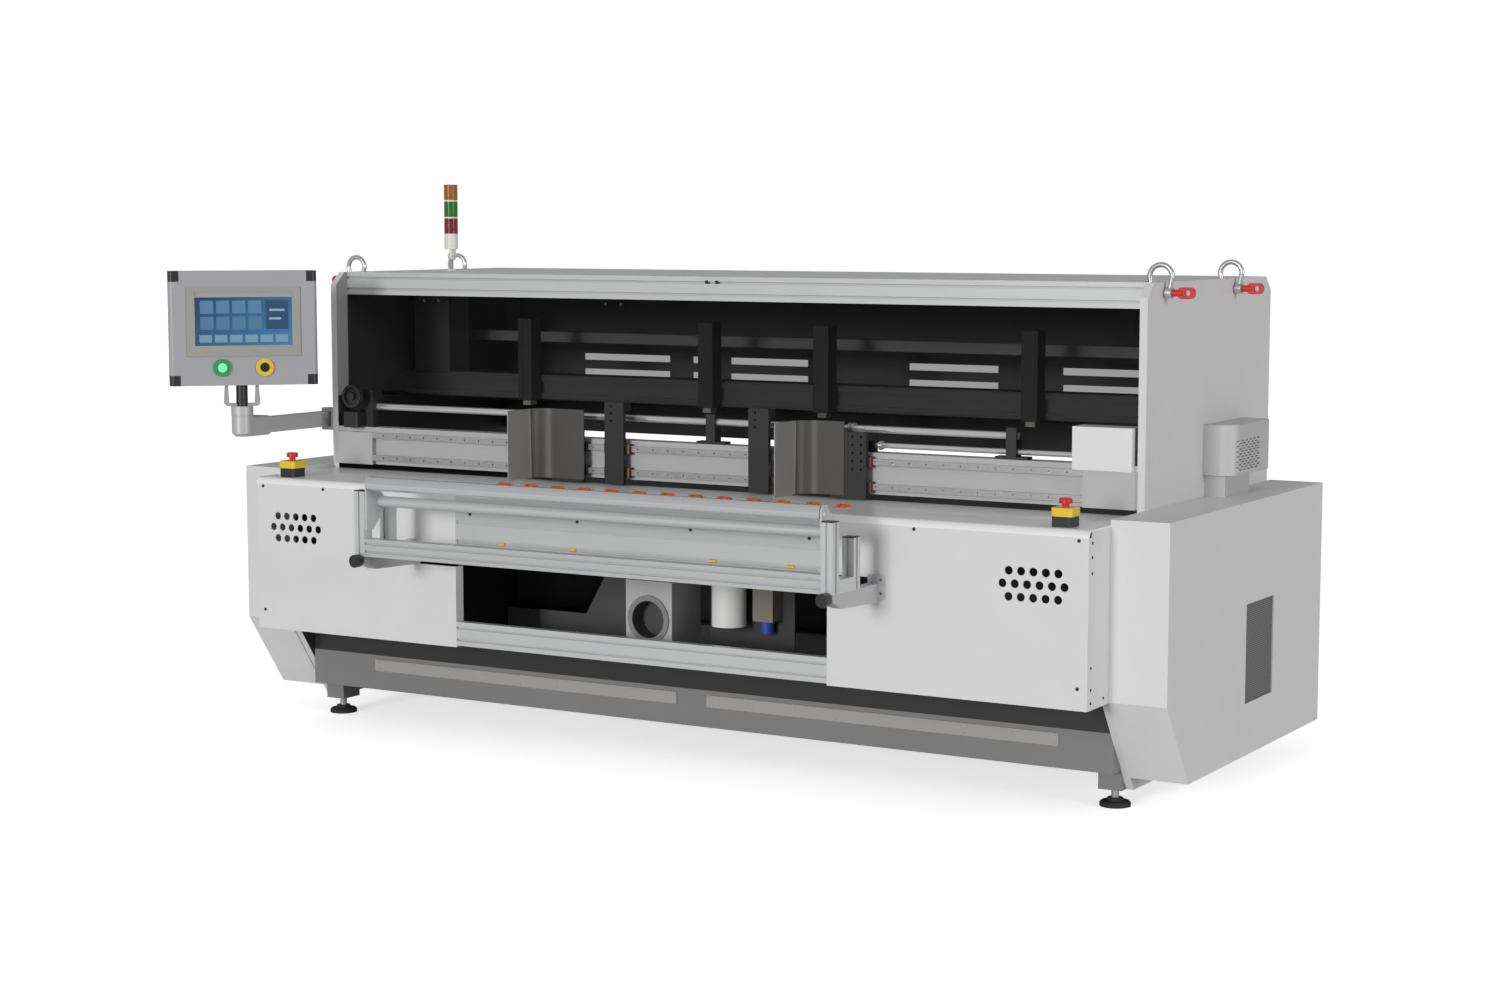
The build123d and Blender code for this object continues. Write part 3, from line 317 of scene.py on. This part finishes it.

# %% [markdown]
# ## Which piece wears which finish
# Each imported piece has one main finish. Pieces whose faces differ (a lens stack, a duct with its ring) get zones
# by where a face lies, and so do pieces with painted shade, such as a plate whose inner side is painted darker for
# shade.

# %%
coat = {
    "side_plates": "plate", "chassis": "chassis", "chassis_strips": "strip", "levelling_feet": "rubber",
    "end_housing_left": "white", "end_housing_right": "white", "end_grille": "grille",
    "front_cover_left": "white", "front_cover_right": "white", "centre_panel": "aluminium",
    "lower_front_beam": "aluminium", "table_top": "table", "rear_cover": "white", "feed_wheels": "orange",
    "feed_shaft": "steel", "top_front_beam": "aluminium", "front_window": "pane", "rear_wall": "white",
    "top_cover": "white", "feed_beam": "beam", "feed_rails": "steel", "carriage_left": "black",
    "carriage_right": "black", "guide_carriage_left": "black", "guide_carriage_right": "black",
    "guide_left": "stainless", "guide_right": "stainless", "shaft_blocks": "black", "drive_shafts": "chrome",
    "drive_cover": "cover_bright", "gear_unit": "black", "hand_wheel": "plastic", "tool_beams": "pale",
    "tool_heads": "grey", "shackle_pins": "red_paint", "shackle_left_front": "galvanised",
    "shackle_left_rear": "galvanised", "shackle_right_front": "galvanised", "shackle_right_rear": "galvanised",
    "infeed_frame": "post", "roller_frame": "aluminium", "infeed_roller": "chrome", "infeed_brackets": "cast",
    "clamp_knobs": "plastic", "lamp_foot": "cast", "lamp_column": "cream", "lamp_lenses": "cream",
    "stop_boxes": "yellow", "stop_button_left": "red", "stop_button_right": "red", "panel_bracket": "cast",
    "panel_arm": "cast", "panel_housing": "housing", "panel_corners": "plastic", "panel_screen": "screen",
    "control_rings": "yellow", "start_button": "mint", "key_switch": "plastic", "fan_box": "fan",
    # Painted shade: the inner units' main finish is the near-black of the shaded inside.
    "inner_units": "inner_painted_shade",
}


def face_centres(obj):
    """Centres of an object's faces as an array of points, in metres."""
    mesh = obj.data
    out = np.empty(len(mesh.polygons) * 3)
    mesh.polygons.foreach_get("center", out)
    return out.reshape(-1, 3)


def paint(node, *zones):
    """The node's main finish everywhere, and each zone's finish where its test on face centres holds."""
    mesh = nodes[node].data
    mesh.materials.clear()
    mesh.materials.append(look[coat[node]])
    index = np.zeros(len(mesh.polygons), dtype=np.int32)
    centres = face_centres(nodes[node])
    for number, (name, test) in enumerate(zones, start=1):
        mesh.materials.append(look[name])
        index[test(*centres.T)] = number
    mesh.polygons.foreach_set("material_index", index)
    mesh.update()


for node in coat:
    paint(node)
print("painted:", len(coat), "unpainted:", sorted(set(nodes) - set(coat)))

# %% [markdown]
# ## Zones
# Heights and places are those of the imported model, in metres.

# %%
lens_low, lens_high, lens_gap = 1.722, 0.056, 0.006
lens_names = ("lens_red", "lens_green", "lens_orange")


def in_lens(number):
    """A test for the faces of one lens, counted from the bottom."""
    start = lens_low + number * (lens_high + lens_gap)
    return lambda x, y, z: (z > start + 0.0001) & (z < start + lens_high - 0.0001)


paint("lamp_lenses", *[(name, in_lens(number)) for number, name in enumerate(lens_names)])
paint("stop_boxes", ("plastic", lambda x, y, z: z < 0.9151))
paint("levelling_feet", ("steel", lambda x, y, z: z > 0.027))
paint("tool_heads", ("head_low", lambda x, y, z: z < 1.19))
paint("tool_beams", ("cross", lambda x, y, z: y > 0.29))
paint("shackle_pins", ("galvanised", lambda x, y, z: np.abs(x) < 1.59))
# Painted shade: the side plates' inner faces.
paint("side_plates", ("plate_inside_painted_shade", lambda x, y, z: np.abs(x) < 1.5405))
# Painted shade: the top cover's underside and the rear cover's inner face are near-black.
paint("top_cover", ("inner_painted_shade", lambda x, y, z: z < 1.5835))
paint("rear_cover", ("inner_painted_shade", lambda x, y, z: y < 0.738))
# Painted shade: the rear wall's inner face, grey, and near-black lower down.
paint("rear_wall", ("rear_wall", lambda x, y, z: y < 0.6865))
paint("infeed_frame", ("profile", lambda x, y, z: np.abs(x) < 0.84))
paint("control_rings", ("ring_green", lambda x, y, z: x < -1.576))
paint("panel_housing", ("plastic", lambda x, y, z: (z < 1.2035) & (np.hypot(x - arm_place[0], y - arm_place[1]) < 0.0215)))
# Painted shade: the guides' flanges, darker than their blades.
for name in ("guide_left", "guide_right"):
    paint(name, ("flange_painted_shade", lambda x, y, z: y > -0.440))
# Painted shade: the front covers' inner faces behind the opening are near-black.
for name in ("front_cover_left", "front_cover_right"):
    paint(name, ("inner_painted_shade", lambda x, y, z: (y > -0.7625) & (np.abs(x) < 1.5615) & (np.abs(x) > 0.7075)))

# Painted shade: the inner units are near-black, and these zones give the duct, its ring, the bulkhead, the filter
# bowl, the control box and the blue cup their colours.
duct_x, duct_z, duct_hole = -0.126, 0.457, 0.0625
paint("inner_units",
      ("duct", lambda x, y, z: (x > -0.2165) & (x < -0.0355) & (y < -0.2995) & (z > 0.2545)),
      ("duct_ring", lambda x, y, z: (y < -0.4805) & (x < 0.0)),
      ("bulkhead", lambda x, y, z: (np.hypot(x - duct_x, z - duct_z) < duct_hole) & (y < -0.415)),
      ("bulkhead", lambda x, y, z: (x < -0.2165) & (z > 0.2545)),
      ("bowl", lambda x, y, z: (x > 0.108) & (x < 0.224) & (z > 0.454) & (y < -0.3925)),
      ("control_box", lambda x, y, z: (x > 0.2565) & (x < 0.3325) & (z > 0.476) & (z < 0.591) & (y < -0.3925)),
      ("blue", lambda x, y, z: (x > 0.27) & (x < 0.32) & (z > 0.436) & (z < 0.4769) & (y < -0.3925)))
print("zoned pieces: 17")

# %% [markdown]
# ## Screws, dots and collars
# Every small round thing is the same form: a ring of points at its seat, a slightly smaller
# ring at its head, a wall between them and two ends. All the like ones are one mesh, made
# from one array of centres.


# %%
def add_mesh(name, verts, faces, finish, body):
    """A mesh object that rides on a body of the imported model."""
    mesh = bpy.data.meshes.new(name)
    mesh.from_pydata(verts, [], faces)
    mesh.materials.append(look[finish])
    obj = bpy.data.objects.new(name, mesh)
    bpy.context.scene.collection.objects.link(obj)
    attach(obj, body)
    return obj


def discs(name, centres, normal, radius, depth, finish, body="frame", sides=20):
    """Discs on a face: ring point k is centre + radius (u cos t + v sin t), the head's ring 0.94 of it."""
    normal = np.asarray(normal, float)
    helper = np.array([0.0, 0.0, 1.0]) if abs(normal[2]) < 0.9 else np.array([1.0, 0.0, 0.0])
    u = np.cross(helper, normal)
    v = np.cross(normal, u)
    turn = np.linspace(0, 2 * np.pi, sides, endpoint=False)
    ring = radius * (np.cos(turn)[:, None] * u + np.sin(turn)[:, None] * v)
    centres = np.asarray(centres, float).reshape(-1, 3)
    verts = np.concatenate([centres[:, None] + ring, centres[:, None] + ring * 0.94 + normal * depth], axis=1)
    k = np.arange(sides)
    wall = np.stack([k, (k + 1) % sides, (k + 1) % sides + sides, k + sides], axis=1)
    faces = []
    for i in range(len(centres)):
        offset = 2 * sides * i
        faces += (wall + offset).tolist()
        faces.append((k + sides + offset).tolist())
        faces.append((k[::-1] + offset).tolist())
    return add_mesh(name, verts.reshape(-1, 3).tolist(), faces, finish, body)


to_front = (0.0, -1.0, 0.0)
to_right = (1.0, 0.0, 0.0)
cover_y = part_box("front_cover_right")[0][1]
cover_screws = [(side * 1.534, cover_y, z) for side in (-1, 1) for z in (0.853, 0.420)]
cover_screws += [(-1.267, cover_y, 0.855), (1.001, cover_y, 0.855)]
cover_screws += [(side * x, cover_y, 0.805) for side in (-1, 1) for x in (0.643, 0.215)]
discs("cover_screws", cover_screws, to_front, 0.0055, 0.002, "black")

cover_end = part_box("front_cover_right")[1][0]
end_screws = [(cover_end, -0.740, z) for z in (0.846, 0.804, 0.757, 0.480, 0.415, 0.376)]
end_screws.append((cover_end, -0.646, 0.378))
discs("cover_end_screws", end_screws, to_right, 0.0045, 0.0015, "black")

strip_low, strip_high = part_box("chassis_strips")
screw_pitch, screws_in_row = 0.152, 9
strip_rows = (strip_low[2] + 0.008, strip_high[2] - 0.008)
strip_screws = [(start + i * screw_pitch, strip_low[1], z)
                for start in (-1.242, 0.134) for i in range(screws_in_row) for z in strip_rows]
discs("strip_screws", strip_screws, to_front, 0.0035, 0.0012, "steel")

window_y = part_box("front_window")[0][1]
window_dots = [(x, window_y, 1.489) for x in (-1.190, -1.126, -0.419, -0.358)]
discs("window_hinge_dots", window_dots, to_front, 0.006, 0.003, "black")
discs("beam_latches", [(-0.017, window_y, 1.568), (0.022, window_y, 1.568)], to_front, 0.006, 0.004, "black")

upper_shaft = (-0.310, 1.107)
lower_shaft = (-0.310, 1.057)
collars = [(0.536, *upper_shaft), (0.548, *upper_shaft)]
discs("upper_shaft_collars", collars, to_right, 0.019, 0.008, "steel", sides=32)
discs("lower_shaft_collar", [(0.646, *lower_shaft)], to_right, 0.015, 0.010, "steel", sides=32)
print("small round pieces:", len(cover_screws) + len(end_screws) + len(strip_screws) + len(window_dots) + 5)

# %% [markdown]
# ## Caps, nuts and rail seals
# Aluminium posts end in moulded black caps. Yellow nuts sit in the centre panel's lower
# slot. A rail block ends in a wiper: a thin U that wraps three faces of its rail, here in the
# red, green and black of the real ones. Each is an outline carried along one axis.


# %%
def extrude_x(name, outlines, finish, body="frame"):
    """Outlines of (y, z) points, each carried from x0 to x1 and closed at both ends."""
    verts = []
    faces = []
    for outline, x0, x1 in outlines:
        count = len(outline)
        offset = len(verts)
        for x in (x0, x1):
            verts += [(x, y, z) for y, z in outline]
        k = np.arange(count)
        wall = np.stack([k, (k + 1) % count, (k + 1) % count + count, k + count], axis=1)
        faces += (wall + offset).tolist()
        faces.append((k + count + offset).tolist())
        faces.append((k[::-1] + offset).tolist())
    return add_mesh(name, verts, faces, finish, body)


def rounded(y0, y1, z0, z1, radius, steps=4):
    """A rectangle in the y-z plane with round corners, anticlockwise."""
    turn = np.linspace(0, np.pi / 2, steps + 1)
    points = []
    corners = ((y1, z1, 0), (y0, z1, 1), (y0, z0, 2), (y1, z0, 3))
    for y, z, quarter in corners:
        angle = turn + quarter * np.pi / 2
        centre_y = y - radius if y == y1 else y + radius
        centre_z = z - radius if z == z1 else z + radius
        points += list(zip(centre_y + radius * np.cos(angle), centre_z + radius * np.sin(angle)))
    return points


post_in, post_out, cap_t = 0.848, 0.888, 0.003
caps = []
for y0, top in ((-1.063, 0.896), (-0.934, 0.838)):
    for side in (-1, 1):
        x0, x1 = sorted((side * post_in, side * post_out))
        caps.append((rounded(y0, y0 + 0.040, top, top + cap_t, 0.0012), x0, x1))
extrude_x("post_caps", caps, "plastic")

nut = rounded(cover_y + 0.001, cover_y + 0.006, 0.7075, 0.7165, 0.001)
extrude_x("panel_nuts", [(nut, x - 0.012, x + 0.012) for x in (-0.518, -0.236, 0.294, 0.575)], "yellow")

rail_heights = (0.928, 1.008)
seal_front, seal_back, rail_face = -0.3755, -0.3540, -0.3676
seal_half, rail_room = 0.0165, 0.0106


def seal(z):
    """A rail wiper's outline about a rail at height z."""
    return [(seal_back, z - seal_half), (seal_back, z - rail_room), (rail_face, z - rail_room),
            (rail_face, z + rail_room), (seal_back, z + rail_room), (seal_back, z + seal_half),
            (seal_front, z + seal_half), (seal_front, z - seal_half)]


def seals(name, x, direction, body, colours):
    """Wipers stacked outwards from a saddle's end, 3 mm each, on both rails."""
    for number, colour in enumerate(colours):
        x0, x1 = sorted((x + direction * 0.003 * number, x + direction * 0.003 * (number + 1)))
        extrude_x("%s_%s" % (name, colour), [(seal(z), x0, x1) for z in rail_heights], colour, body)


seals("seals_carriage_left_a", -0.364, -1, "carriage_left", ("red", "plastic"))
seals("seals_carriage_left_b", -0.276, 1, "carriage_left", ("ring_green", "red", "plastic"))
seals("seals_guide_right", 0.644, 1, "guide_right", ("red", "plastic"))
print("post caps:", len(caps), "nuts: 4, seals: 14")

# %% [markdown]
# ## Stage, light and camera
# A white surround that only the camera sees as white, a plain level of light from the sky,
# and two soft suns: one from the front, a weaker one from the right. The floor is bright to
# the camera and still takes the machine's shadow.

# %%
sky_level = 0.32
world = bpy.context.scene.world or bpy.data.worlds.new("studio")
bpy.context.scene.world = world
world.use_nodes = True
sky = Wire(world.node_tree)
seen = sky.node("ShaderNodeLightPath", out="Is Camera Ray")
lit = sky.node("ShaderNodeBackground", None, {"Color": (1.0, 1.0, 1.0, 1.0), "Strength": sky_level})
white = sky.node("ShaderNodeBackground", None, {"Color": (1.0, 1.0, 1.0, 1.0), "Strength": 1.0})
surround = sky.node("ShaderNodeMixShader", None, {0: seen, 1: lit, 2: white})
plug(world.node_tree.nodes["World Output"].inputs["Surface"], surround)

reach = 60.0
floor_mesh = bpy.data.meshes.new("floor")
floor_mesh.from_pydata([(-reach, -reach, 0), (reach, -reach, 0), (reach, reach, 0), (-reach, reach, 0)], [],
                       [(0, 1, 2, 3)])
floor_mat = bpy.data.materials.new("floor_white")
floor_mat.use_nodes = True
floor_shader = floor_mat.node_tree.nodes["Principled BSDF"]
floor_shader.inputs["Base Color"].default_value = (0.95, 0.95, 0.95, 1.0)
floor_shader.inputs["Roughness"].default_value = 1.0
floor_shader.inputs["Specular IOR Level"].default_value = 0.0
floor_shader.inputs["Emission Strength"].default_value = 1.0
floor_lift = 0.66
floor_seen = Wire(floor_mat.node_tree).node("ShaderNodeLightPath", out="Is Camera Ray")
plug(floor_shader.inputs["Emission Color"], floor_seen.blend((0, 0, 0), (floor_lift, floor_lift, floor_lift)))
floor_mesh.materials.append(floor_mat)
floor = bpy.data.objects.new("floor", floor_mesh)
bpy.context.scene.collection.objects.link(floor)


def soft_sun(name, azimuth, elevation, level, spread):
    """A sun that stands at an azimuth from +X and an elevation, lighting a facing surface to its level."""
    data = bpy.data.lights.new(name, "SUN")
    data.energy = level * math.pi
    data.angle = math.radians(spread)
    obj = bpy.data.objects.new(name, data)
    obj.rotation_euler = (math.radians(90.0 - elevation), 0.0, math.radians(azimuth + 90.0))
    bpy.context.scene.collection.objects.link(obj)
    return obj


soft_sun("front_sun", -93.0, 10.0, 0.50, 14.0)
soft_sun("right_sun", -8.0, 10.0, 0.30, 14.0)

camera_data = bpy.data.cameras.new("camera")
camera_data.sensor_width = 36.0
camera_data.lens = 62.57
camera_data.clip_end = 200.0
camera = bpy.data.objects.new("camera", camera_data)
camera.location = (4.513, -7.666, 1.773)
camera.rotation_euler = (math.radians(90.0 - 6.134), 0.0, math.radians(30.598))
bpy.context.scene.collection.objects.link(camera)
bpy.context.scene.camera = camera
bpy.context.scene.view_settings.view_transform = "Standard"
